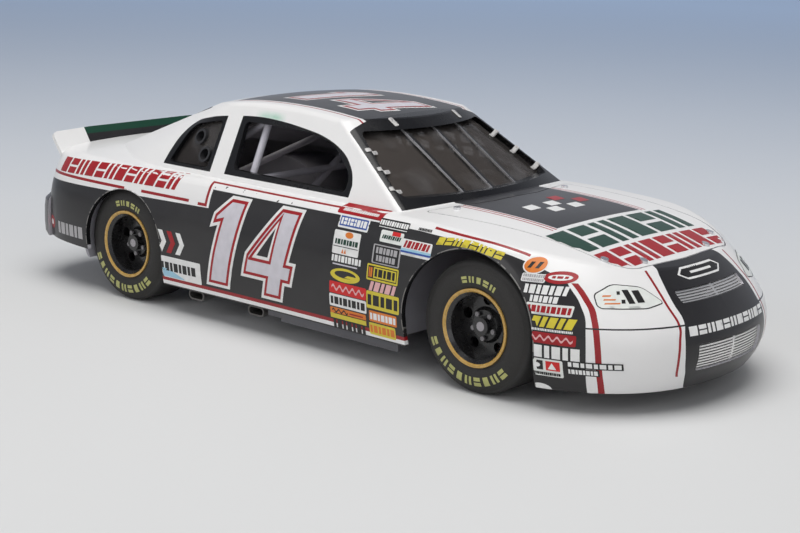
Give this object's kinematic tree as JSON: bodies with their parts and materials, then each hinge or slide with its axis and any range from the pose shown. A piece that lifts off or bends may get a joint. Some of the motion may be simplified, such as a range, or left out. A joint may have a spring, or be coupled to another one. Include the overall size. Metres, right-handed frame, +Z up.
{
  "type": "scale model stock car",
  "caption": "Scale model of an enclosed stock car: hollow body shell with lift-off hood, roll cage, chassis, steering front wheels and free-rolling wheels.",
  "frame": {"origin": "on the floor under the middle of the overall length and width", "axes": "+X to the nose, +Y to the driver's side (left), +Z up"},
  "size_m": [0.2049, 0.0782, 0.0555],
  "materials": {
    "white_plastic": "gloss white paint on moulded plastic",
    "charcoal_plastic": "satin charcoal paint on moulded plastic",
    "black_plastic": "satin black plastic",
    "grey_plastic": "satin light grey paint on plastic",
    "engine_plastic": "red painted plastic",
    "rim_plastic": "satin black plastic with a gold edge line",
    "rubber": "dull black vinyl",
    "bright_metal": "silver paint",
    "black_cloth": "black webbing",
    "clear": "clear moulded plastic"
  },
  "bodies": {
    "car_body": {"body_shell": "white_plastic", "front_bumper_cover": "white_plastic", "rear_bumper_cover": "charcoal_plastic", "rear_spoiler": "white_plastic", "windshield": "clear", "rear_window": "clear", "quarter_windows": "clear", "quarter_duct_rings": "black_plastic", "windshield_braces": "bright_metal", "window_clips": "bright_metal", "window_net": "black_cloth", "grille_upper": "bright_metal", "grille_lower": "bright_metal", "frame_rails": "black_plastic", "chassis_pan": "grey_plastic", "cage_hoop": "grey_plastic", "cage_sides": "grey_plastic", "cage_door_bars": "grey_plastic", "cage_cross_bars": "grey_plastic", "cage_braces": "grey_plastic", "driver_seat": "black_plastic", "dashboard": "black_plastic", "steering_wheel": "black_plastic", "engine": "engine_plastic", "air_cleaner": "bright_metal", "radiator": "black_plastic", "front_crossmember": "black_plastic", "rear_axle_housing": "black_plastic", "driveshaft": "grey_plastic", "trailing_arms": "black_plastic", "exhaust_pipes": "bright_metal", "fuel_cell": "black_plastic", "side_skirts": "black_plastic"},
    "hood": {"hood_panel": "white_plastic", "hood_pins": "bright_metal"},
    "spindle_left": {"spindle_left": "black_plastic"},
    "spindle_right": {"spindle_right": "black_plastic"},
    "wheel_front_left": {"rim_front_left": "rim_plastic", "tyre_front_left": "rubber"},
    "wheel_front_right": {"rim_front_right": "rim_plastic", "tyre_front_right": "rubber"},
    "wheel_rear_left": {"rim_rear_left": "rim_plastic", "tyre_rear_left": "rubber"},
    "wheel_rear_right": {"rim_rear_right": "rim_plastic", "tyre_rear_right": "rubber"}
  },
  "joints": [
    {"name": "hood_lift", "type": "slide", "parent": "car_body", "child": "hood", "axis": [0, 0, 1], "range_m": [0, 0.03]},
    {"name": "steer_left", "type": "hinge", "parent": "car_body", "child": "spindle_left", "pos_m": [0.0592, 0.021, 0.015], "axis": [0, 0, 1], "range_deg": [-20, 20]},
    {"name": "steer_right", "type": "hinge", "parent": "car_body", "child": "spindle_right", "pos_m": [0.0592, -0.021, 0.015], "axis": [0, 0, 1], "range_deg": [-20, 20]},
    {"name": "wheel_front_left_spin", "type": "hinge", "parent": "spindle_left", "child": "wheel_front_left", "pos_m": [0.0592, 0.0308, 0.015], "axis": [0, 1, 0], "continuous": true},
    {"name": "wheel_front_right_spin", "type": "hinge", "parent": "spindle_right", "child": "wheel_front_right", "pos_m": [0.0592, -0.0308, 0.015], "axis": [0, 1, 0], "continuous": true},
    {"name": "wheel_rear_left_spin", "type": "hinge", "parent": "car_body", "child": "wheel_rear_left", "pos_m": [-0.0572, 0.0308, 0.015], "axis": [0, 1, 0], "continuous": true},
    {"name": "wheel_rear_right_spin", "type": "hinge", "parent": "car_body", "child": "wheel_rear_right", "pos_m": [-0.0572, -0.0308, 0.015], "axis": [0, 1, 0], "continuous": true}
  ],
  "couplings": [
    {"joint": "steer_right", "follows": "steer_left", "ratio": 1}
  ]
}
